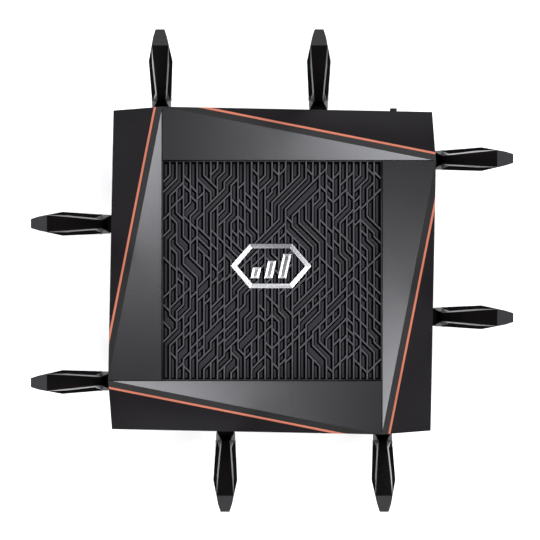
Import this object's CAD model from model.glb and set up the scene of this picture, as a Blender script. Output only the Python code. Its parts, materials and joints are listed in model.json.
import json
import math
import random

import bmesh
import bpy
from mathutils import Matrix, Vector

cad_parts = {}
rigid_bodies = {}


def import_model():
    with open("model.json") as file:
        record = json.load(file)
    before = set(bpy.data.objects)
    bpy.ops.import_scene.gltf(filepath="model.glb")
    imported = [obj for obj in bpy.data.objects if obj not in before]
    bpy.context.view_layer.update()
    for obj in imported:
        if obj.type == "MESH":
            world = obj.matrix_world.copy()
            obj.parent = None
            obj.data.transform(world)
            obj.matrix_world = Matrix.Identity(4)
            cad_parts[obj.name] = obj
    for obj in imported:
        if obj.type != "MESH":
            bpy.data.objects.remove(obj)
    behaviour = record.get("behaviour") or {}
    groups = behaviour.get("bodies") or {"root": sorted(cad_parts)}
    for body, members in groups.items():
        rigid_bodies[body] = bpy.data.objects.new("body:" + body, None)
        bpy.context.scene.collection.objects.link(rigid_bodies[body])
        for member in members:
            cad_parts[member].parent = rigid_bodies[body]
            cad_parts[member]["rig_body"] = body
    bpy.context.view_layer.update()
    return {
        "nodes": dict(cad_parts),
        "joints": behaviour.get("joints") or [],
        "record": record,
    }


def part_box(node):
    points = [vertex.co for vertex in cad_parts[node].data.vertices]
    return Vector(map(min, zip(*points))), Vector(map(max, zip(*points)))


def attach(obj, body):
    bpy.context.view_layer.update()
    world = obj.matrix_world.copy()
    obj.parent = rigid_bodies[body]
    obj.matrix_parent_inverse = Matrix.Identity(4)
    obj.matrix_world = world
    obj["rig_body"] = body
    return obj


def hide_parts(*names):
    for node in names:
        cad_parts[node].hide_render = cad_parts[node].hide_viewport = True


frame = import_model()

MM = 0.001
BODY = "router"
NODES = frame["nodes"]

# ---- places read from the frame ----
grille_low, grille_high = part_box("top_grille")
emblem_low, emblem_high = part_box("emblem")
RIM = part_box("top_cover")[1].x           # rim reach from the middle
GRILLE_HALF = grille_high.x
TILTS = {j["name"]: Vector(j["pos_m"]) for j in frame["joints"] if j["name"].endswith("tilt")}
SIDES = 4
ANTENNAS = len(TILTS)
PER_SIDE = ANTENNAS // SIDES
REST_TILT = math.radians(15.0)           # blades lean outwards from upright


# ---- shader helpers ----
CLOUD_SCALE, CLOUD_DETAIL = 45.0, 4.0    # slow changes of colour
GRAIN_DETAIL, GRAIN_MIX = 2.0, 0.6       # fine grain of a moulded surface
GRAIN_HEIGHT = 0.2 * MM
COAT_ROUGHNESS = 0.1
SATIN_CLOUD, SATIN_GRAIN = 60.0, 1400.0
SATIN_GRAIN_DEPTH, SATIN_GRAIN_HEIGHT = 0.01, 0.05 * MM
SATIN_ROUGH_VARY = 0.015
FADE_VARY = 0.02                         # cloudiness of a fade between two colours


def new_material(name):
    material = bpy.data.materials.new(name)
    material.use_nodes = True
    nodes = material.node_tree.nodes
    return material, nodes, material.node_tree.links, nodes["Principled BSDF"]


def noise(nodes, links, scale, detail=3.0, roughness=0.55, stretch=None):
    """Noise over the object's own space, so that it doesn't depend on UVs."""
    place = nodes.new("ShaderNodeTexCoord")
    texture = nodes.new("ShaderNodeTexNoise")
    texture.inputs["Scale"].default_value = scale
    texture.inputs["Detail"].default_value = detail
    texture.inputs["Roughness"].default_value = roughness
    if stretch:
        mapping = nodes.new("ShaderNodeMapping")
        mapping.inputs["Scale"].default_value = stretch
        links.new(place.outputs["Object"], mapping.inputs["Vector"])
        links.new(mapping.outputs["Vector"], texture.inputs["Vector"])
    else:
        links.new(place.outputs["Object"], texture.inputs["Vector"])
    return texture.outputs["Fac"]


def ramp(nodes, links, source, low, high, from_low=0.35, from_high=0.65):
    """A number spread between two values."""
    spread = nodes.new("ShaderNodeMapRange")
    spread.inputs["From Min"].default_value = from_low
    spread.inputs["From Max"].default_value = from_high
    spread.inputs["To Min"].default_value = low
    spread.inputs["To Max"].default_value = high
    links.new(source, spread.inputs["Value"])
    return spread.outputs["Result"]


def blend_colours(nodes, links, factor, first, second):
    """From the first colour at 0 to the second at 1."""
    mix = nodes.new("ShaderNodeMix")
    mix.data_type = "RGBA"
    mix.inputs["A"].default_value = (*first, 1)
    mix.inputs["B"].default_value = (*second, 1)
    links.new(factor, mix.inputs["Factor"])
    return mix.outputs["Result"]


def bump(nodes, links, shader, height, strength, distance):
    """Tilts the shading by a height pattern."""
    node = nodes.new("ShaderNodeBump")
    node.inputs["Strength"].default_value = strength
    node.inputs["Distance"].default_value = distance
    links.new(height, node.inputs["Height"])
    links.new(node.outputs["Normal"], shader.inputs["Normal"])


def finish_of(name, colour, roughness, metallic=0.0, grain=900.0, depth=0.03, vary=0.12,
              rough_vary=0.08, coat=0.0, stretch=None, specular=0.5):
    """Moulded or machined surface: fine grain, faint cloudy colour and roughness changes."""
    material, nodes, links, shader = new_material(name)
    cloud = noise(nodes, links, CLOUD_SCALE, CLOUD_DETAIL)
    darker = tuple(c * (1 - vary) for c in colour)
    lighter = tuple(min(1.0, c * (1 + vary)) for c in colour)
    links.new(blend_colours(nodes, links, cloud, darker, lighter), shader.inputs["Base Color"])
    fine = noise(nodes, links, grain, GRAIN_DETAIL, GRAIN_MIX, stretch)
    links.new(ramp(nodes, links, fine, roughness - rough_vary, roughness + rough_vary),
              shader.inputs["Roughness"])
    bump(nodes, links, shader, fine, depth, GRAIN_HEIGHT)
    shader.inputs["Metallic"].default_value = metallic
    shader.inputs["Specular IOR Level"].default_value = specular
    shader.inputs["Coat Weight"].default_value = coat
    shader.inputs["Coat Roughness"].default_value = COAT_ROUGHNESS
    return material


def fading_finish(name, bright, dark, roughness, specular=0.5, power=1.4, metallic=0.0):
    """Satin finish between two colours, by the mesh's own fade attribute."""
    material, nodes, links, shader = new_material(name)
    fade = nodes.new("ShaderNodeAttribute")
    fade.attribute_name = "fade"
    cloud = noise(nodes, links, SATIN_CLOUD)
    shifted = nodes.new("ShaderNodeMath")
    shifted.operation = "ADD"
    links.new(fade.outputs["Fac"], shifted.inputs[0])
    links.new(ramp(nodes, links, cloud, -FADE_VARY, FADE_VARY), shifted.inputs[1])
    curve = nodes.new("ShaderNodeMath")
    curve.operation = "POWER"
    curve.inputs[1].default_value = power
    links.new(shifted.outputs[0], curve.inputs[0])
    links.new(blend_colours(nodes, links, curve.outputs[0], dark, bright),
              shader.inputs["Base Color"])
    fine = noise(nodes, links, SATIN_GRAIN, GRAIN_DETAIL, GRAIN_MIX)
    links.new(ramp(nodes, links, fine, roughness - SATIN_ROUGH_VARY,
                   roughness + SATIN_ROUGH_VARY), shader.inputs["Roughness"])
    bump(nodes, links, shader, fine, SATIN_GRAIN_DEPTH, SATIN_GRAIN_HEIGHT)
    shader.inputs["Metallic"].default_value = metallic
    shader.inputs["Specular IOR Level"].default_value = specular
    return material


# Materials by name: one colour, or two to fade between, then the roughness and what differs
# from the defaults.
MATERIALS = {
    "main_facet": fading_finish("main_facet", (0.045, 0.045, 0.049), (0.005, 0.005, 0.006), 0.22),
    "strip_facet": finish_of("strip_facet", (0.011, 0.0105, 0.011), 0.4, vary=0.05,
                             specular=0.12, rough_vary=0.02, depth=0.01),
    "corner_facet": finish_of("corner_facet", (0.0072, 0.0064, 0.0072), 0.33, vary=0.05,
                              specular=0.04, rough_vary=0.02, depth=0.01),
    "shell_texture": finish_of("shell_texture", (0.012, 0.012, 0.0135), 0.5, grain=1500.0,
                               depth=0.25),
    "groove": finish_of("groove", (0.003, 0.003, 0.003), 0.7, specular=0.1),
    "rib": fading_finish("rib", (0.028, 0.028, 0.0335), (0.012, 0.012, 0.014), 0.4, power=1.0),
    "island": fading_finish("island", (0.0092, 0.0092, 0.0118), (0.0025, 0.0025, 0.0035), 0.42,
                            specular=0.25, power=1.0),
    "pit": finish_of("pit", (0.0008, 0.0008, 0.0008), 0.8, specular=0.02),
    "copper": finish_of("copper", (0.38, 0.118, 0.072), 0.4, metallic=0.3, vary=0.04,
                        specular=0.3),
    "chrome": fading_finish("chrome", (0.66, 0.66, 0.67), (0.07, 0.07, 0.075), 0.25,
                            power=1.2, metallic=1.0),
    "blade_black": finish_of("blade_black", (0.002, 0.002, 0.0022), 0.3, vary=0.05,
                             specular=0.015, rough_vary=0.03, depth=0.01),
    "blade_side": finish_of("blade_side", (0.004, 0.004, 0.0045), 0.4, vary=0.05,
                            specular=0.0, rough_vary=0.03, depth=0.01),
    "blade_gloss": finish_of("blade_gloss", (0.006, 0.006, 0.0065), 0.32, vary=0.05,
                             specular=0.2, rough_vary=0.02, depth=0.01),
    "blade_edge": finish_of("blade_edge", (0.055, 0.055, 0.058), 0.3, vary=0.05, depth=0.02,
                            rough_vary=0.03, specular=0.9),
    "blade_tip": finish_of("blade_tip", (0.01, 0.01, 0.0112), 0.4, vary=0.06, depth=0.03,
                           specular=0.3),
    "rubber": finish_of("rubber", (0.02, 0.02, 0.02), 0.85, grain=700.0, depth=0.4),
    "steel": finish_of("steel", (0.42, 0.42, 0.43), 0.35, metallic=1.0, stretch=(1, 1, 12)),
    "tin": finish_of("tin", (0.62, 0.62, 0.63), 0.3, metallic=1.0),
    "gold": finish_of("gold", (0.86, 0.6, 0.24), 0.25, metallic=1.0),
    "brass": finish_of("brass", (0.72, 0.53, 0.26), 0.3, metallic=1.0),
    "aluminium": finish_of("aluminium", (0.7, 0.7, 0.72), 0.38, metallic=1.0,
                           stretch=(1, 14, 1)),
    "board": finish_of("board", (0.012, 0.06, 0.035), 0.4, grain=500.0, depth=0.2, vary=0.3),
    "pad": finish_of("pad", (0.36, 0.42, 0.52), 0.8),
    "port": finish_of("port", (0.018, 0.018, 0.02), 0.5, depth=0.12),
    "tongue_blue": finish_of("tongue_blue", (0.012, 0.07, 0.26), 0.45),
    "frosted": finish_of("frosted", (0.62, 0.62, 0.64), 0.45, coat=0.3),
    "amber": finish_of("amber", (0.6, 0.34, 0.05), 0.3, coat=0.4),
    "green": finish_of("green", (0.1, 0.42, 0.12), 0.3, coat=0.4),
    "label": finish_of("label", (0.16, 0.16, 0.17), 0.5, grain=300.0),
    "button": finish_of("button", (0.007, 0.007, 0.0075), 0.45, specular=0.1, depth=0.08),
    "jacket": finish_of("jacket", (0.02, 0.02, 0.02), 0.55),
}


# ---- mesh helpers ----
WELD = 1e-6                              # points nearer than this are one
FLAT_ANGLE = 0.4                         # degrees between faces that merge into one


def piece(name, body, slot, mesh, replaced=()):
    """Object that rides a body, in place of the CAD nodes it stands for."""
    obj = bpy.data.objects.new(name, mesh)
    bpy.context.scene.collection.objects.link(obj)
    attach(obj, body)
    if replaced:
        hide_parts(*replaced)
    return obj


def add_bevel(obj, width, segments=2, angle=30.0):
    """Rounds the edges that turn by more than an angle in degrees."""
    modifier = obj.modifiers.new("edges", "BEVEL")
    modifier.width = width
    modifier.segments = segments
    modifier.limit_method = "ANGLE"
    modifier.angle_limit = math.radians(angle)
    modifier.use_clamp_overlap = True


def smooth_under(mesh, degrees):
    """Smooth shading that stays sharp over edges steeper than an angle."""
    mesh.shade_smooth()
    mesh.set_sharp_from_angle(angle=math.radians(degrees))


def skin_of(node, name, slot, material, width, segments=2, smooth=None):
    """A copy of a CAD node's shape with merged flat faces and rounded edges."""
    source = NODES[node]
    mesh = bpy.data.meshes.new(name)
    work = bmesh.new()
    work.from_mesh(source.data)
    bmesh.ops.remove_doubles(work, verts=work.verts, dist=WELD)
    bmesh.ops.dissolve_limit(work, angle_limit=math.radians(FLAT_ANGLE), verts=work.verts,
                             edges=work.edges)
    work.to_mesh(mesh)
    work.free()
    mesh.materials.append(MATERIALS[material])
    obj = piece(name, source["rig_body"], slot, mesh, (node,))
    add_bevel(obj, width, segments)
    if smooth:
        smooth_under(mesh, smooth)
    return obj


def build(name, vertices, faces, face_slots, slots):
    """Mesh from points, faces and each face's material name."""
    mesh = bpy.data.meshes.new(name)
    mesh.from_pydata([tuple(v) for v in vertices], [], faces)
    for slot in slots:
        mesh.materials.append(MATERIALS[slot])
    for polygon, slot in zip(mesh.polygons, face_slots):
        polygon.material_index = slots.index(slot)
    mesh.validate()
    work = bmesh.new()
    work.from_mesh(mesh)
    bmesh.ops.recalc_face_normals(work, faces=work.faces)
    work.to_mesh(mesh)
    work.free()
    return mesh


def turn(point, side):
    """A point of the rear side, turned clockwise to another side."""
    x, y, z = point
    for _ in range(side):
        x, y = y, -x
    return Vector((x, y, z))


# ---- camera, lights and floor ----
PHOTO_WIDTH = 395.1 * MM        # what the frame spans at the body's height
LENS = 1000.0                   # long, so that the view is nearly parallel
SENSOR = 36.0
VIEW_CENTRE = Vector((-1.5 * MM, 0.4 * MM, 66 * MM))
CLIP_START = 0.1
FLOOR_HALF = 6.0
PAPER_SCALE, PAPER_DETAIL = 400.0, 2.0
PAPER_DARK, PAPER_LIGHT = (0.93, 0.93, 0.93), (0.95, 0.95, 0.95)
PAPER_ROUGHNESS, PAPER_SPECULAR = 0.9, 0.1
WORLD_STRENGTH = 0.35
# Lights of the rear side, turned to all four. First a softbox that the main facet mirrors
# towards the camera, from its narrow end.
SOFT_PLACE, SOFT_TARGET = (-0.49, 0.235, 0.86), (-0.1, 0.1, 0.06)
SOFT_SIZE, SOFT_POWER, SOFT_COLOUR = (0.2, 0.3), 2.2, (0.95, 0.955, 1.0)
# Then a broad light beyond the corner, which whitens the floor; the second is stronger.
WIDE_PLACE, WIDE_SIZE = (-1.3, 1.3, 1.3), (0.8, 0.8)
WIDE_POWERS = (24.0, 42.0, 24.0, 24.0)


def make_camera():
    """Looks straight down from far above, the rear side at the top of the picture."""
    data = bpy.data.cameras.new("camera")
    data.lens = LENS
    data.sensor_width = SENSOR
    distance = PHOTO_WIDTH * LENS / SENSOR
    data.clip_start = CLIP_START
    data.clip_end = distance * 3
    camera = bpy.data.objects.new("camera", data)
    camera.location = VIEW_CENTRE + Vector((0, 0, distance))
    bpy.context.scene.collection.objects.link(camera)
    bpy.context.scene.camera = camera


def area_light(name, place, target, size, power, colour=(1, 1, 1)):
    """Rectangular light that faces a target."""
    data = bpy.data.lights.new(name, "AREA")
    data.shape = "RECTANGLE"
    data.size, data.size_y = size
    data.energy = power
    data.color = colour
    light = bpy.data.objects.new(name, data)
    light.location = place
    light.rotation_mode = "QUATERNION"
    light.rotation_quaternion = (Vector(place) - Vector(target)).to_track_quat("Z", "Y")
    bpy.context.scene.collection.objects.link(light)


def make_floor():
    mesh = bpy.data.meshes.new("floor")
    half = FLOOR_HALF
    mesh.from_pydata([(-half, -half, 0), (half, -half, 0), (half, half, 0), (-half, half, 0)],
                     [], [(0, 1, 2, 3)])
    floor = bpy.data.objects.new("floor", mesh)
    bpy.context.scene.collection.objects.link(floor)
    material, nodes, links, shader = new_material("floor")
    paper = noise(nodes, links, PAPER_SCALE, PAPER_DETAIL)
    links.new(blend_colours(nodes, links, paper, PAPER_DARK, PAPER_LIGHT),
              shader.inputs["Base Color"])
    shader.inputs["Roughness"].default_value = PAPER_ROUGHNESS
    shader.inputs["Specular IOR Level"].default_value = PAPER_SPECULAR
    mesh.materials.append(material)


def make_lights():
    world = bpy.data.worlds.new("world")
    bpy.context.scene.world = world
    world.use_nodes = True
    background = world.node_tree.nodes["Background"]
    background.inputs["Color"].default_value = (1, 1, 1, 1)
    background.inputs["Strength"].default_value = WORLD_STRENGTH
    for side, wide_power in enumerate(WIDE_POWERS):
        area_light(f"soft_{side}", turn(SOFT_PLACE, side), turn(SOFT_TARGET, side), SOFT_SIZE,
                   SOFT_POWER, SOFT_COLOUR)
        area_light(f"wide_{side}", turn(WIDE_PLACE, side), (0, 0, 0), WIDE_SIZE, wide_power)
    bpy.context.scene.view_settings.view_transform = "Standard"


make_camera()
make_floor()
make_lights()


# ---- top cover ----
# Steepness of each kind of facet: its rise over its run lies between these.
FACET_SLOPES = {"main_facet": (0.19, 0.23), "strip_facet": (0.26, 0.34),
                "corner_facet": (0.1, 0.18)}
FACING_UP = 0.9
FACET_TILT = 0.15               # least share of its side that a facet's normal has
WALL_TILT = 0.1                 # a wall's normal rises less than this
COVER_EDGE = 0.4 * MM
STEP_GROOVE = 0.8 * MM          # dark groove at the foot of the step beside each facet
STEP_DEPTH = 1.6 * MM


def slope_kind(face):
    """Which facet of the cover a face belongs to, by its steepness."""
    if face.normal.z < FACING_UP:
        return None
    slope = math.hypot(face.normal.x, face.normal.y) / face.normal.z
    for kind, (low, high) in FACET_SLOPES.items():
        if low < slope < high:
            return kind
    return None


def cut_step_groove(work, side, groove_slot):
    """Sinks the edge strip of one main facet, next to the wall of its neighbour."""
    inwards = turn((1, 0, 0), side)
    line = turn((-GRILLE_HALF - STEP_GROOVE, 0, 0), side)

    def facet_faces():
        return [f for f in work.faces if slope_kind(f) == "main_facet"
                and f.normal.dot(inwards) < -FACET_TILT]
    facets = facet_faces()
    parts = set(facets)
    for face in facets:
        parts.update(face.edges)
        parts.update(face.verts)
    bmesh.ops.bisect_plane(work, geom=list(parts), plane_co=line, plane_no=inwards)
    thin = [f for f in facet_faces() if (f.calc_center_median() - line).dot(inwards) > 0]
    moved = bmesh.ops.extrude_face_region(work, geom=thin)["geom"]
    bmesh.ops.delete(work, geom=thin, context="FACES_ONLY")
    bmesh.ops.translate(work, vec=(0, 0, -STEP_DEPTH),
                        verts=[v for v in moved if isinstance(v, bmesh.types.BMVert)])
    for face in moved:
        if isinstance(face, bmesh.types.BMFace):
            face.material_index = groove_slot
            for edge in face.edges:
                for near in edge.link_faces:
                    if abs(near.normal.z) < WALL_TILT:
                        near.material_index = groove_slot


def make_cover():
    """The CAD shell's shape with satin facets that fade towards their wide ends."""
    cover = skin_of("top_cover", "cover_shell", "satin_black_shell", "shell_texture",
                    COVER_EDGE, 3)
    mesh = cover.data
    slots = ["shell_texture", "main_facet", "strip_facet", "corner_facet", "groove"]
    mesh.materials.clear()
    for slot in slots:
        mesh.materials.append(MATERIALS[slot])
    work = bmesh.new()
    work.from_mesh(mesh)
    work.normal_update()
    for face in work.faces:
        face.material_index = slots.index(slope_kind(face) or "shell_texture")
    for side in range(SIDES):
        cut_step_groove(work, side, slots.index("groove"))
    work.normal_update()
    # how far along its facet a corner is: 1 at the narrow end, 0 at the wide end
    fade = work.loops.layers.float.new("fade")
    for face in work.faces:
        if face.material_index != slots.index("main_facet"):
            continue
        side = max(range(SIDES), key=lambda k: face.normal.dot(turn((-1, 0, 0), k)))
        along = turn((0, 1, 0), side)
        for loop in face.loops:
            loop[fade] = (loop.vert.co.dot(along) + GRILLE_HALF) / (RIM + GRILLE_HALF)
    work.to_mesh(mesh)
    work.free()


# ---- relief of the grille ----
SEED = 23
COLUMNS = 32
ROWS = 64                       # half steps; a slanting rib climbs two of them a column
CLIMB = 2
MARGIN_ROWS = 2                 # slanting ribs stay this far from the upper and lower border
CLEAR_ROWS, CLEAR_PARALLEL_ROWS = 2, 3      # and this far from each other
# A bundle is drawn from these: columns a rib crosses, ribs, sideways slip and rows between.
BUNDLE_TRIES = 2600
BUNDLE_LENGTHS = (1, 1, 2, 2, 2, 3, 3, 4, 5)
BUNDLE_COUNTS = (1, 2, 3, 3, 4, 5)
BUNDLE_SLIPS = (0, 1, 1, 1)
BUNDLE_GAPS = (3, 3, 3, 3, 4)
RIB_WIDTH = 1.15 * MM
RIB_CHAMFER, RIB_SHOULDER = 0.2 * MM, 0.16 * MM
GROOVE_WIDTH = 1.05 * MM
GROOVE_SHARES = (1.0, 0.75, 0.55)           # narrower grooves, tried in small cells
PIT_DEPTH = 2.1 * MM
ISLAND_SHIFT = Vector((-0.45, -0.4)) * MM   # islands sit nearer their lower left rib
ISLAND_CHAMFER, ISLAND_SHOULDER = 0.2 * MM, 0.14 * MM
ISLAND_DROP = 0.45 * MM                     # step down from the ribs, times a drawn share
ISLAND_DROP_SHARES = (0.5, 2.2)
WALL_LEAN = 0.1 * MM
SHORTEST_SIDE = 0.02 * MM                   # a shrunk outline's shorter sides close up
PARALLEL = 1e-4                             # least cross product of two ways that meet
STRAIGHT = 1e-6                             # most cross product at a point within a straight side
BORDER = 0.45 * MM                          # gap between the relief and the cover
RIM_SINK = 1.1 * MM                         # the outermost ribs stay below the others
RIM_MARGIN, RIM_TOP = 0.01 * MM, 0.5 * MM   # how the points of those ribs are told
SHADE_REACH, SHADE_POWER = 14 * MM, 0.7     # the relief darkens this near its border


class RibPlan:
    """Uprights on a lattice, slanting ribs in bundles, and the uprights they open."""

    def __init__(self):
        self.slants = [[] for _ in range(COLUMNS)]
        self.ends, self.opened = set(), set()

    def fits(self, stroke, step):
        """Whether a slanting rib keeps clear of the ribs already in its columns."""
        for (column, start), (_, end) in zip(stroke, stroke[1:]):
            lowest, highest = min(start, end), max(start, end)
            if not (0 <= column < COLUMNS and MARGIN_ROWS <= lowest
                    and highest <= ROWS - MARGIN_ROWS):
                return False
            for other, other_step in self.slants[column]:
                gaps = (start - other, end - other - other_step)
                if gaps[0] * gaps[1] <= 0 or min(abs(gap) for gap in gaps) < CLEAR_ROWS:
                    return False
                if other_step == step and abs(gaps[0]) < CLEAR_PARALLEL_ROWS:
                    return False
        return not any(point in self.opened for point in stroke)

    def add(self, stroke, step):
        for column, row in stroke[:-1]:
            self.slants[column].append((row, step))
        self.ends.update(stroke)

    def open_between(self, lower, upper):
        """Opens the uprights between two ribs of one bundle, so their cell runs on."""
        heights = dict(lower)
        shared = [(column, row) for column, row in upper if column in heights]
        if lower[0][0] == upper[0][0]:
            shared = shared[1:-1]
        for column, row in shared:
            inside = {(column, between) for between in range(heights[column] + 1, row)}
            if not inside & self.ends:
                self.opened.update(inside)

    def lay_bundle(self, dice):
        """Tries a bundle of parallel ribs from its lowest one up, as far as they fit."""
        step = dice.choice((CLIMB, -CLIMB))
        length = dice.choice(BUNDLE_LENGTHS)
        column, row = dice.randrange(COLUMNS), dice.randrange(MARGIN_ROWS, ROWS - 1)
        slip = dice.choice(BUNDLE_SLIPS) * (-1 if step > 0 else 1)
        lower = None
        for _ in range(dice.choice(BUNDLE_COUNTS)):
            stroke = [(column + i, row + step * i) for i in range(length + 1)]
            if not self.fits(stroke, step):
                break
            self.add(stroke, step)
            if lower:
                self.open_between(lower, stroke)
            lower = stroke
            column += slip
            row += slip * step + dice.choice(BUNDLE_GAPS)

    def edges(self):
        """Every short rib: uprights that are left, slants and the border."""
        kept = set()
        for column in range(COLUMNS + 1):
            for row in range(ROWS):
                ends = (column, row), (column, row + 1)
                if not self.opened & set(ends):
                    kept.add(ends)
        for column in range(COLUMNS):
            kept.add(((column, 0), (column + 1, 0)))
            kept.add(((column, ROWS), (column + 1, ROWS)))
            for row, step in self.slants[column]:
                kept.add(((column, row), (column + 1, row + step)))
        return kept


def prune(edges):
    """Drops ribs that lead nowhere, and returns each point's neighbours."""
    links = {}
    for a, b in edges:
        links.setdefault(a, set()).add(b)
        links.setdefault(b, set()).add(a)
    loose = [p for p in links if len(links[p]) == 1]
    while loose:
        p = loose.pop()
        if len(links[p]) != 1:
            continue
        q = links[p].pop()
        links[q].discard(p)
        if len(links[q]) == 1:
            loose.append(q)
    return {p: near for p, near in links.items() if near}


def relief_cells(links, place):
    """The closed cells between the ribs, each as its corner points in order."""
    order = {}
    for p, near in links.items():
        centre = place(p)
        order[p] = sorted(near, key=lambda q: math.atan2(*(place(q) - centre).yx))
    straight = {}
    for p, near in links.items():
        if len(near) == 2:
            a, b = ((place(q) - place(p)).normalized() for q in near)
            straight[p] = abs(a.cross(b)) < STRAIGHT
    seen, cells = set(), []
    for p in links:
        for q in links[p]:
            if (p, q) in seen:
                continue
            loop, a, b = [], p, q
            while (a, b) not in seen:
                seen.add((a, b))
                loop.append(a)
                around = order[b]
                a, b = b, around[(around.index(a) - 1) % len(around)]
            area = sum(place(s).cross(place(t)) for s, t in zip(loop, loop[1:] + loop[:1]))
            if area > 0:
                cells.append([place(s) for s in loop if not straight.get(s)])
    return cells


def crosses(a, b, c, d):
    """Whether two stretches cross."""
    def turns(p, q, r):
        return (q - p).cross(r - p)
    return turns(a, b, c) * turns(a, b, d) < 0 and turns(c, d, a) * turns(c, d, b) < 0


def shrunk(points, distance):
    """A counter-clockwise outline moved inwards, or None where all of it closes up.

    A single side that closes up keeps both its points, in one place.
    """
    count = len(points)
    ways = [(points[(i + 1) % count] - points[i]).normalized() for i in range(count)]
    starts = [p + Vector((-way.y, way.x)) * distance for p, way in zip(points, ways)]
    left = list(range(count))

    def corner(a, b):
        turn_between = ways[a].cross(ways[b])
        if abs(turn_between) < PARALLEL:
            return starts[b] if ways[a].dot(ways[b]) > 0 else None
        return starts[a] + ways[a] * ((starts[b] - starts[a]).cross(ways[b]) / turn_between)

    while len(left) > 2:
        corners = [corner(left[i - 1], left[i]) for i in range(len(left))]
        if None in corners:
            return None
        lengths = [(corners[(i + 1) % len(left)] - corners[i]).dot(ways[left[i]])
                   for i in range(len(left))]
        shortest = min(range(len(left)), key=lambda i: lengths[i])
        if lengths[shortest] > SHORTEST_SIDE:
            break
        left.pop(shortest)
    else:
        return None
    size = len(left)
    for i in range(size):
        for j in range(i + 2, size if i else size - 1):
            if crosses(corners[i], corners[(i + 1) % size], corners[j], corners[(j + 1) % size]):
                return None
    moved = []
    for i in range(count):
        after = next((k for k, line in enumerate(left) if line >= i), 0)
        moved.append(corners[after])
    return moved


class Sheet:
    """Points, faces and each face's material, gathered ring by ring."""

    def __init__(self):
        self.points, self.faces, self.kinds = [], [], []

    def ring(self, outline, z):
        start = len(self.points)
        self.points.extend(Vector((p.x, p.y, z)) for p in outline)
        return list(range(start, start + len(outline)))

    def bridge(self, outer, inner, kind):
        """A band of faces between two rings of as many points."""
        for i in range(len(outer)):
            self.faces.append((outer[i - 1], outer[i], inner[i], inner[i - 1]))
            self.kinds.append(kind)

    def cap(self, ring, kind):
        self.faces.append(ring)
        self.kinds.append(kind)

    def rings(self, levels, first, kinds):
        """Rings through (outline, height) levels, each joined to the one before."""
        for (outline, z), kind in zip(levels, kinds):
            after = self.ring(outline, z)
            self.bridge(first, after, kind)
            first = after
        return first


def island_levels(cell, top, drop):
    """Outlines and heights of a cell's island, narrower grooves where it is small."""
    half = RIB_WIDTH / 2
    for share in GROOVE_SHARES:
        foot = half + GROOVE_WIDTH * share
        insets = [(foot - WALL_LEAN, PIT_DEPTH), (foot, drop + ISLAND_SHOULDER),
                  (foot + ISLAND_CHAMFER, drop)]
        outlines = [shrunk(cell, inset) for inset, _ in insets]
        if None not in outlines:
            return [([p + ISLAND_SHIFT * share for p in outline], top - depth)
                    for outline, (_, depth) in zip(outlines, insets)]
    return None


def make_relief():
    """Square plate with ribs over deep grooves, and a raised island in each cell."""
    dice = random.Random(SEED)
    half = GRILLE_HALF - BORDER
    pitch = Vector((2 * half / COLUMNS, 2 * half / ROWS))

    def place(point):
        return Vector((-half + point[0] * pitch.x, -half + point[1] * pitch.y))
    plan = RibPlan()
    for _ in range(BUNDLE_TRIES):
        plan.lay_bundle(dice)
    cells = relief_cells(prune(plan.edges()), place)
    top = grille_high.z
    slots = ["rib", "island", "pit", "groove"]
    insets = [(RIB_WIDTH / 2 - RIB_CHAMFER, 0), (RIB_WIDTH / 2, RIB_SHOULDER),
              (RIB_WIDTH / 2 + WALL_LEAN, PIT_DEPTH)]
    sheet = Sheet()
    for cell in cells:
        outlines = [shrunk(cell, inset) for inset, _ in insets]
        first = sheet.ring(cell, top)
        if None in outlines:
            sheet.cap(first, "rib")
            continue
        levels = [(outline, top - drop) for outline, (_, drop) in zip(outlines, insets)]
        pit = sheet.rings(levels, first, ["rib", "rib", "pit"])
        island = island_levels(cell, top, ISLAND_DROP * dice.uniform(*ISLAND_DROP_SHARES))
        if island:
            pit = sheet.rings(island, pit, ["pit", "pit", "island"])
            sheet.cap(pit, "island")
        else:
            sheet.cap(pit, "pit")
    # the plate's edge and underside
    corner = [Vector((x * half, y * half)) for x, y in ((-1, -1), (1, -1), (1, 1), (-1, 1))]
    upper, lower = sheet.ring(corner, top), sheet.ring(corner, grille_low.z)
    sheet.bridge(lower, upper, "groove")
    sheet.cap(lower[::-1], "groove")
    mesh = build("grille_relief", sheet.points, sheet.faces, sheet.kinds, slots)
    work = bmesh.new()
    work.from_mesh(mesh)
    bmesh.ops.remove_doubles(work, verts=work.verts, dist=WELD)
    bmesh.ops.dissolve_degenerate(work, dist=WELD, edges=work.edges)
    # a share that darkens ribs and islands near the border
    shade = work.verts.layers.float.new("fade")
    rim = set()
    for vertex in work.verts:
        inside = half - max(abs(vertex.co.x), abs(vertex.co.y))
        vertex[shade] = max(0.0, min(1.0, inside / SHADE_REACH)) ** SHADE_POWER
        if inside < RIB_WIDTH / 2 + RIM_MARGIN and vertex.co.z > top - RIM_TOP:
            rim.add(vertex)
            vertex.co.z -= RIM_SINK
    for face in work.faces:
        if rim.issuperset(face.verts):
            face.material_index = slots.index("pit")
    work.to_mesh(mesh)
    work.free()
    piece("grille_relief", BODY, "grille_black", mesh, ("top_grille",))


# ---- emblem: a long hexagonal ring around three rising bars ----
RING_WIDTH = 3.4 * MM
EMBLEM_DROP = 0.55 * MM         # from the ridge down to the edges
HEX_SLANT = 14 * MM
BARS = ((-15.0, 0.45), (-5.0, 0.72), (5.0, 1.0))     # left foot in mm, share of full height
BAR_WIDTH, BAR_LEAN, BAR_FOOT, BAR_TALL = 6.0, 4.0, -9.0, 18.0
BAR_SLOPE = 1.7 * MM            # width of the slopes around a bar's flat top
EMBLEM_EDGE, EMBLEM_EDGE_ANGLE = 0.12 * MM, 8.0
FADE_MIDDLE, FADE_RISE = 0.8, 0.75      # chrome brightens towards the lower left


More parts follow.
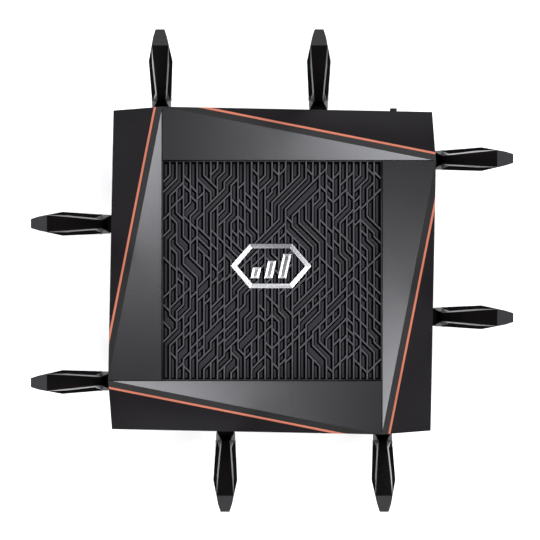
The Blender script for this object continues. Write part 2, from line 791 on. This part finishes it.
def make_emblem():
    """Ridged ring and bars, so that their slopes catch the light differently."""
    centre = (emblem_low + emblem_high).xy / 2
    half = (emblem_high - emblem_low).xy / 2
    low, high = emblem_low.z, emblem_high.z
    edge = high - EMBLEM_DROP
    sheet = Sheet()
    w, h, flat = half.x, half.y, half.x - HEX_SLANT
    outer = [centre + Vector(p)
             for p in ((w, 0), (flat, h), (-flat, h), (-w, 0), (-flat, -h), (flat, -h))]
    foot = sheet.ring(outer, low)
    ridge, inner = shrunk(outer, RING_WIDTH / 2), shrunk(outer, RING_WIDTH)
    inside = sheet.rings([(outer, edge), (ridge, high), (inner, edge), (inner, low)], foot,
                         ["chrome"] * 4)
    sheet.bridge(inside, foot, "chrome")
    for x, share in BARS:
        top = BAR_FOOT + BAR_TALL * share
        lean = BAR_LEAN * share
        outline = [centre + Vector(p) * MM for p in
                   ((x, BAR_FOOT), (x + BAR_WIDTH, BAR_FOOT), (x + BAR_WIDTH + lean, top),
                    (x + lean, top))]
        foot = sheet.ring(outline, low)
        crown = sheet.rings([(outline, edge), (shrunk(outline, BAR_SLOPE), high)], foot,
                            ["chrome"] * 2)
        sheet.cap(crown, "chrome")
        sheet.cap(foot[::-1], "chrome")
    mesh = build("emblem_mark", sheet.points, sheet.faces, sheet.kinds, ["chrome"])
    shade = mesh.attributes.new("fade", "FLOAT", "POINT")
    for vertex, value in zip(mesh.vertices, shade.data):
        rise = (vertex.co.y - centre.y) / (2 * half.y) + (vertex.co.x - centre.x) / (4 * half.x)
        value.value = min(1.0, max(0.0, FADE_MIDDLE - FADE_RISE * rise))
    obj = piece("emblem_mark", BODY, "chrome", mesh, ("emblem",))
    add_bevel(obj, EMBLEM_EDGE, 2, EMBLEM_EDGE_ANGLE)


# ---- antennas ----
# Blade sections from the tilt pivot up, in millimetres: height, half widths of the face,
# of its edge strips, of the middle and of the back, and the depths of face and back.
BLADE_STATIONS = [
    (7.3, 3.0, 6.3, 7.4, 4.0, -4.8, 5.4),
    (9.8, 3.0, 6.0, 7.45, 4.0, -4.8, 5.4),
    (26.7, 3.35, 4.35, 7.7, 4.1, -4.85, 5.5),
    (98.0, 4.8, 6.05, 8.75, 4.4, -5.0, 6.0),
    (162.3, 6.1, 6.2, 5.1, 3.3, -5.2, 5.5),
]
TIP_SLOPE = 0.5
STRIP_DEPTH, TIP_STRIP_DEPTH = 1.1, 0.15    # how far back the edge strips reach
MIDDLE_DEPTH = 0.4              # where a blade is widest
# Knuckle sections outwards along the swivel axis: place, half width where the light
# shoulder begins, half width of the side.
CHEEK_STATIONS = [
    (117.15, 6.2, 6.45), (118.4, 6.2, 6.7), (119.6, 5.8, 6.9), (122.5, 4.35, 7.0),
    (124.3, 3.5, 7.05), (126.5, 3.5, 7.1), (129.0, 3.5, 7.1), (131.0, 3.5, 7.05),
    (132.3, 3.5, 6.9), (132.95, 3.5, 6.6),
]
CHEEK_CUT, CHEEK_CUT_MOST = 0.7, 0.45       # slope of the light shoulders, share of height
SLOT_HALF = 3.4
PIVOT_OUT = 126.5
BRIDGE_OUT = 120.4              # solid between the cheeks from their foot to here
EAR_R = 6.6
TONGUE_HALF, TONGUE_R = 3.1, 5.6
TONGUE_FRONT, TONGUE_BACK = -4.6, 5.0
TONGUE_SHOULDER, TONGUE_TOP = 3.2, 8.5
SADDLE_GAP = 0.25
ARC_STEPS = 12                  # steps in half a turn
# Half of the hinge pin: place across the clevis, radius.
PIN_PROFILE = ((6.6, 1.6), (6.6, 2.3), (7.0, 2.3), (7.3, 2.1), (7.5, 1.3))
# A shallow panel in the back faces that face outwards and are this large.
PANEL_INSET, PANEL_SINK = 1.3 * MM, 0.35 * MM
PANEL_FACING, PANEL_LEAST_AREA = 0.95, 4e-4
BLADE_EDGE, KNUCKLE_EDGE, ANTENNA_EDGE_ANGLE = 0.22 * MM, 0.2 * MM, 25.0


def loft(rings, strip_kinds, caps):
    """Closed mesh through rings of as many points; one material per strip of faces."""
    points, faces, kinds = [], [], []
    for ring in rings:
        points.extend(Vector(p) * MM for p in ring)
    count = len(rings[0])
    for level in range(len(rings) - 1):
        low, high = level * count, (level + 1) * count
        for i in range(count):
            j = (i + 1) % count
            faces.append((low + i, low + j, high + j, high + i))
            kinds.append(strip_kinds[level][i])
    faces += [tuple(range(count))[::-1], tuple(range(len(points) - count, len(points)))]
    kinds += list(caps)
    return points, faces, kinds


def joined(*shapes):
    """Several shapes as one."""
    points, faces, kinds = [], [], []
    for more_points, more_faces, more_kinds in shapes:
        start = len(points)
        points += more_points
        faces += [tuple(i + start for i in face) for face in more_faces]
        kinds += more_kinds
    return points, faces, kinds


def blade_shape():
    """Eight-sided blade with its hinge tongue, upright about the tilt pivot."""
    rings = []
    for height, face, strip, middle, back, inner, outer in BLADE_STATIONS:
        tip = height == BLADE_STATIONS[-1][0]
        depth = inner + (TIP_STRIP_DEPTH if tip else STRIP_DEPTH)
        outline = [(-face, inner), (face, inner), (strip, depth), (middle, MIDDLE_DEPTH),
                   (back, outer), (-back, outer), (-middle, MIDDLE_DEPTH), (-strip, depth)]
        rings.append([(x, y, height + (TIP_SLOPE * y if tip else 0)) for x, y in outline])
    plain = ["blade_black", "blade_edge", "blade_side", "blade_gloss", "blade_gloss",
             "blade_gloss", "blade_side", "blade_edge"]
    blade = loft(rings, [plain] * (len(rings) - 1), ["blade_black", "blade_tip"])
    # the tongue: a round end below, straight sides up into the blade
    profile = [(TONGUE_FRONT, TONGUE_TOP), (TONGUE_FRONT, TONGUE_SHOULDER)]
    for step in range(ARC_STEPS + 1):
        angle = math.pi - step * math.pi / ARC_STEPS
        profile.append((TONGUE_R * math.cos(angle), -TONGUE_R * math.sin(angle)))
    profile += [(TONGUE_BACK, TONGUE_SHOULDER), (TONGUE_BACK, TONGUE_TOP)]
    tongue = loft([[(x, y, z) for y, z in profile] for x in (-TONGUE_HALF, TONGUE_HALF)],
                  [["blade_black"] * len(profile)], ["blade_black"] * 2)
    return joined(blade, tongue)


def knuckle_shape():
    """Clevis with flared shoulders, about the tilt pivot."""
    shapes = []
    for hand in (1, -1):
        rings = []
        for out, shoulder, side in CHEEK_STATIONS:
            beyond = max(0.0, out - PIVOT_OUT)
            top = math.sqrt(EAR_R ** 2 - beyond ** 2)
            drop = min(CHEEK_CUT * (side - shoulder), top * CHEEK_CUT_MOST)
            outline = [(SLOT_HALF, -top), (SLOT_HALF, top), (shoulder, top),
                       (side, top - drop), (side, drop - top), (shoulder, -top)]
            rings.append([(hand * x, out - PIVOT_OUT, z) for x, z in outline])
        strips = ["blade_black", "blade_black", "blade_edge", "blade_black", "blade_edge",
                  "blade_black"]
        shapes.append(loft(rings, [strips] * (len(rings) - 1), ["blade_black"] * 2))
    bridge = [[(x, out - PIVOT_OUT, z) for x, z in ((-SLOT_HALF, -EAR_R), (SLOT_HALF, -EAR_R),
                                                    (SLOT_HALF, EAR_R), (-SLOT_HALF, EAR_R))]
              for out in (CHEEK_STATIONS[0][0], BRIDGE_OUT)]
    shapes.append(loft(bridge, [["blade_black"] * 4], ["blade_black"] * 2))
    # the saddle closes the slot under the tongue
    arc = [math.pi + step * math.pi / ARC_STEPS for step in range(ARC_STEPS // 2 + 1)]
    saddle = [(radius * math.cos(a), radius * math.sin(a))
              for radius, angles in ((EAR_R, arc), (TONGUE_R + SADDLE_GAP, arc[::-1]))
              for a in angles]
    shapes.append(loft([[(x, y, z) for y, z in saddle] for x in (-SLOT_HALF, SLOT_HALF)],
                       [["blade_black"] * len(saddle)], ["blade_black"] * 2))
    return joined(*shapes)


def pin_shape():
    """Hinge pin across the clevis with low domed heads."""
    count = 2 * ARC_STEPS
    around = [i * math.pi / ARC_STEPS for i in range(count)]
    profile = [(-x, radius) for x, radius in reversed(PIN_PROFILE)] + list(PIN_PROFILE)
    rings = [[(x, radius * math.cos(a), radius * math.sin(a)) for a in around]
             for x, radius in profile]
    return loft(rings, [["steel"] * count] * (len(rings) - 1), ["steel"] * 2)


def sink_back_panel(mesh, outwards):
    """A shallow panel in the broad back faces of a blade."""
    work = bmesh.new()
    work.from_mesh(mesh)
    backs = [f for f in work.faces
             if f.normal.dot(outwards) > PANEL_FACING and f.calc_area() > PANEL_LEAST_AREA]
    bmesh.ops.inset_region(work, faces=backs, thickness=PANEL_INSET, depth=-PANEL_SINK)
    work.to_mesh(mesh)
    work.free()


def make_antennas():
    """All blades, knuckles and hinge pins, shaped on the rear side and turned to their own."""
    lean = Matrix.Rotation(-REST_TILT, 3, "X")
    slots = ["blade_black", "blade_side", "blade_gloss", "blade_edge", "blade_tip", "steel"]
    level = Matrix.Identity(3)
    parts = [("blade", blade_shape(), lean, "mast", "antenna_gloss", BLADE_EDGE),
             ("knuckle", knuckle_shape(), level, "swivel_base", "antenna_gloss", KNUCKLE_EDGE),
             ("hinge_pin", pin_shape(), level, "swivel_base", "screw_steel", 0.0)]
    for number in range(1, ANTENNAS + 1):
        side = (number - 1) // PER_SIDE
        pivot = turn(TILTS[f"antenna_{number}_tilt"], (SIDES - side) % SIDES)
        for part, (points, faces, kinds), leaning, body, slot, width in parts:
            name = f"antenna_{number}_{part}"
            moved = [turn(leaning @ p + pivot, side) for p in points]
            mesh = build(name + "_skin", moved, faces, kinds, slots)
            if part == "blade":
                sink_back_panel(mesh, turn(lean @ Vector((0, 1, 0)), side))
            obj = piece(name + "_skin", f"antenna_{number}_{body}", slot, mesh, (name,))
            if width:
                add_bevel(obj, width, 2, ANTENNA_EDGE_ANGLE)


# ---- sockets on the rear side ----
OPENINGS = {o["name"]: [Vector(c) for c in o["box_m"]]
            for o in frame["record"]["physics"]["openings"]}
# The contacts of a network jack. Their path: how far behind the front and below the
# opening's top, in millimetres.
CONTACTS, CONTACT_PITCH = 8, 1.02 * MM
CONTACT_WIDTH, CONTACT_THICK = 0.42 * MM, 0.3 * MM
CONTACT_PATH = ((2.2, 0.5), (3.0, 0.9), (9.5, 3.6), (12.5, 3.9))
# Its two lights: their place beside the jack's middle and below its top, then their box.
LIGHT_ASIDE, LIGHT_DROP = 4.6 * MM, 1.6 * MM
LIGHT_BOX = ((-1.4, -0.8, -0.8), (1.4, 0.2, 0.8))
# A USB port's tongue and the contacts under it, in millimetres from the middle, from
# USB_DEPTH behind the front and from the opening's top.
USB_DEPTH = 12.0 * MM
USB_TONGUE_BOX = ((-5.5, 0.0, -2.2), (5.5, 10.6, -0.5))
USB_CONTACT_BOX = ((-0.5, 1.5, -2.35), (0.5, 9.6, -2.1))
USB_CONTACTS, USB_CONTACT_PITCH = 4, 2.3 * MM
# Closed sections of the inlet's sleeve and pin: radius, and depth behind the front.
INLET_SECTIONS = (
    ((2.5, 9.6), (2.5, 0.9), (2.6, 0.5), (2.78, 0.5), (2.78, 9.6)),
    ((1.2, 9.6), (1.3, 9.6), (1.3, 1.7), (1.05, 1.2), (0.5, 1.0), (0.1, 1.0), (0.1, 9.6)),
)
INLET_SIDES = 32
INLET_SMOOTH = 35.0


def block_shape(place, box, kind):
    """Box with its six faces, from two corners in millimetres about a place."""
    low, high = (Vector([at + step * MM for at, step in zip(place, corner)]) for corner in box)
    corners = [Vector((x, y, z)) for z in (low.z, high.z)
               for x, y in ((low.x, low.y), (high.x, low.y), (high.x, high.y), (low.x, high.y))]
    faces = [(3, 2, 1, 0), (4, 5, 6, 7)] + [(i, (i + 1) % 4, (i + 1) % 4 + 4, i + 4)
                                            for i in range(4)]
    return corners, faces, [kind] * len(faces)


def ribbon_shape(path, x, width, thick, kind):
    """Flat spring along a path of (y, z) points."""
    outline = [Vector((0, y, z)) for y, z in path]
    outline += [p + Vector((0, 0, thick)) for p in reversed(outline)]
    count = len(outline)
    points = [p + Vector((x + half, 0, 0)) for half in (-width / 2, width / 2) for p in outline]
    faces = [(i, (i + 1) % count, (i + 1) % count + count, i + count) for i in range(count)]
    quads = [(i, i + 1, count - 2 - i, count - 1 - i) for i in range(len(path) - 1)]
    faces += quads
    faces += [tuple(i + count for i in reversed(quad)) for quad in quads]
    return points, faces, [kind] * len(faces)


def ring_shape(section, centre, front, kind):
    """A closed (radius, depth) section turned about an axis along y."""
    sides, rings = INLET_SIDES, len(section)
    around = [i * 2 * math.pi / sides for i in range(sides)]
    points = [Vector((centre.x + radius * MM * math.cos(a), front - depth * MM,
                      centre.z + radius * MM * math.sin(a)))
              for radius, depth in section for a in around]
    faces = [(k * sides + i, k * sides + (i + 1) % sides,
              (k + 1) % rings * sides + (i + 1) % sides, (k + 1) % rings * sides + i)
             for k in range(rings) for i in range(sides)]
    return points, faces, [kind] * len(faces)


def openings_of(socket):
    """Middle and top of each opening of one kind of socket."""
    return [((low.x + high.x) / 2, high.z) for name, (low, high) in OPENINGS.items()
            if name.startswith(socket)]


def spaced(middle, count, pitch):
    """Evenly spaced places about a middle."""
    return [middle + (i - (count - 1) / 2) * pitch for i in range(count)]


def detail(name, slot, shapes, kinds, width, segments=2):
    """One piece of the body from several shapes, with rounded edges."""
    mesh = build(name, *joined(*shapes), kinds)
    add_bevel(piece(name, BODY, slot, mesh), width, segments)


def make_jack_details():
    """Spring contacts and the two small lights of each network jack."""
    jacks_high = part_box("ethernet_jacks")[1]
    springs, windows = [], []
    for middle, top in openings_of("ethernet"):
        path = [(jacks_high.y - behind * MM, top - below * MM) for behind, below in CONTACT_PATH]
        for x in spaced(middle, CONTACTS, CONTACT_PITCH):
            springs.append(ribbon_shape(path, x, CONTACT_WIDTH, CONTACT_THICK, "gold"))
        for hand, kind in ((-1, "green"), (1, "amber")):
            place = (middle + hand * LIGHT_ASIDE, jacks_high.y, jacks_high.z - LIGHT_DROP)
            windows.append(block_shape(place, LIGHT_BOX, kind))
    detail("jack_contacts", "connector_brass", springs, ["gold"], 0.06 * MM, 1)
    detail("jack_lights", "light_pipe", windows, ["green", "amber"], 0.18 * MM)


def make_usb_details():
    """The tongue in each USB port, with its contacts."""
    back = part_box("usb_ports")[1].y - USB_DEPTH
    tongues, strips = [], []
    for middle, top in openings_of("usb"):
        tongues.append(block_shape((middle, back, top), USB_TONGUE_BOX, "tongue_blue"))
        for x in spaced(middle, USB_CONTACTS, USB_CONTACT_PITCH):
            strips.append(block_shape((x, back, top), USB_CONTACT_BOX, "gold"))
    detail("usb_tongues", "port_plastic", tongues, ["tongue_blue"], 0.3 * MM)
    detail("usb_contacts", "connector_brass", strips, ["gold"], 0.08 * MM, 1)


def make_inlet():
    """Brass sleeve of the barrel inlet and the skin of its centre pin."""
    pin = next(m for m in frame["record"]["mounts"] if m["name"] == "power_inlet_pin")
    centre = Vector(pin["pos_m"])
    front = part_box("power_inlet")[1].y
    shapes = [ring_shape(section, centre, front, "brass") for section in INLET_SECTIONS]
    mesh = build("inlet_sleeve", *joined(*shapes), ["brass"])
    piece("inlet_sleeve", BODY, "connector_brass", mesh)
    smooth_under(mesh, INLET_SMOOTH)


# ---- everything else, from the CAD shapes ----
# Skins with rounded edges: slot, material, edge in millimetres, angle of smooth shading.
CAD_SKINS = {
    "lower_housing": ("textured_black_shell", "shell_texture", 0.4, None),
    "accent_trims": ("copper", "copper", 0.45, None),
    "side_vents": ("textured_black_shell", "shell_texture", 0.2, None),
    "base_vent": ("textured_black_shell", "shell_texture", 0.2, None),
    "front_light_pipe": ("light_pipe", "frosted", 0.2, None),
    "rubber_feet": ("foot_rubber", "rubber", 0.5, 40),
    "case_screws": ("screw_steel", "steel", 0.15, 40),
    "rating_plate": ("label_grey", "label", 0.1, None),
    "shield_cans": ("shield_steel", "tin", 0.4, None),
    "heat_sinks": ("heat_sink_aluminium", "aluminium", 0.2, None),
    "ethernet_jacks": ("port_plastic", "port", 0.25, None),
    "usb_ports": ("port_plastic", "tin", 0.25, None),
    "power_inlet": ("port_plastic", "port", 0.2, 40),
    "antenna_nuts": ("antenna_gloss", "blade_black", 0.3, 40),
    "antenna_connectors": ("connector_brass", "brass", 0.15, 40),
    "power_button": ("button_black", "button", 0.35, 40),
    "reset_button": ("button_black", "button", 0.2, 40),
    "wps_button": ("button_black", "button", 0.3, 40),
    "wifi_button": ("button_black", "button", 0.3, 40),
    "boost_key": ("button_black", "button", 0.5, None),
}
# Hidden parts that keep the CAD mesh and get a material.
CAD_DRESSED = {
    "status_light_board": "board",
    "main_board": "board",
    "thermal_pads": "pad",
    "antenna_leads": "jacket",
    "emblem_light_board": "board",
}


def dress(node, material):
    data = NODES[node].data
    data.materials.clear()
    data.materials.append(MATERIALS[material])


make_cover()
make_relief()
make_emblem()
make_antennas()
make_jack_details()
make_usb_details()
make_inlet()
for node, (slot, material, width, smooth) in CAD_SKINS.items():
    skin_of(node, node + "_skin", slot, material, width * MM, 2, smooth)
for node, material in CAD_DRESSED.items():
    dress(node, material)
for number in range(1, ANTENNAS + 1):
    dress(f"antenna_{number}_radiator", "brass")
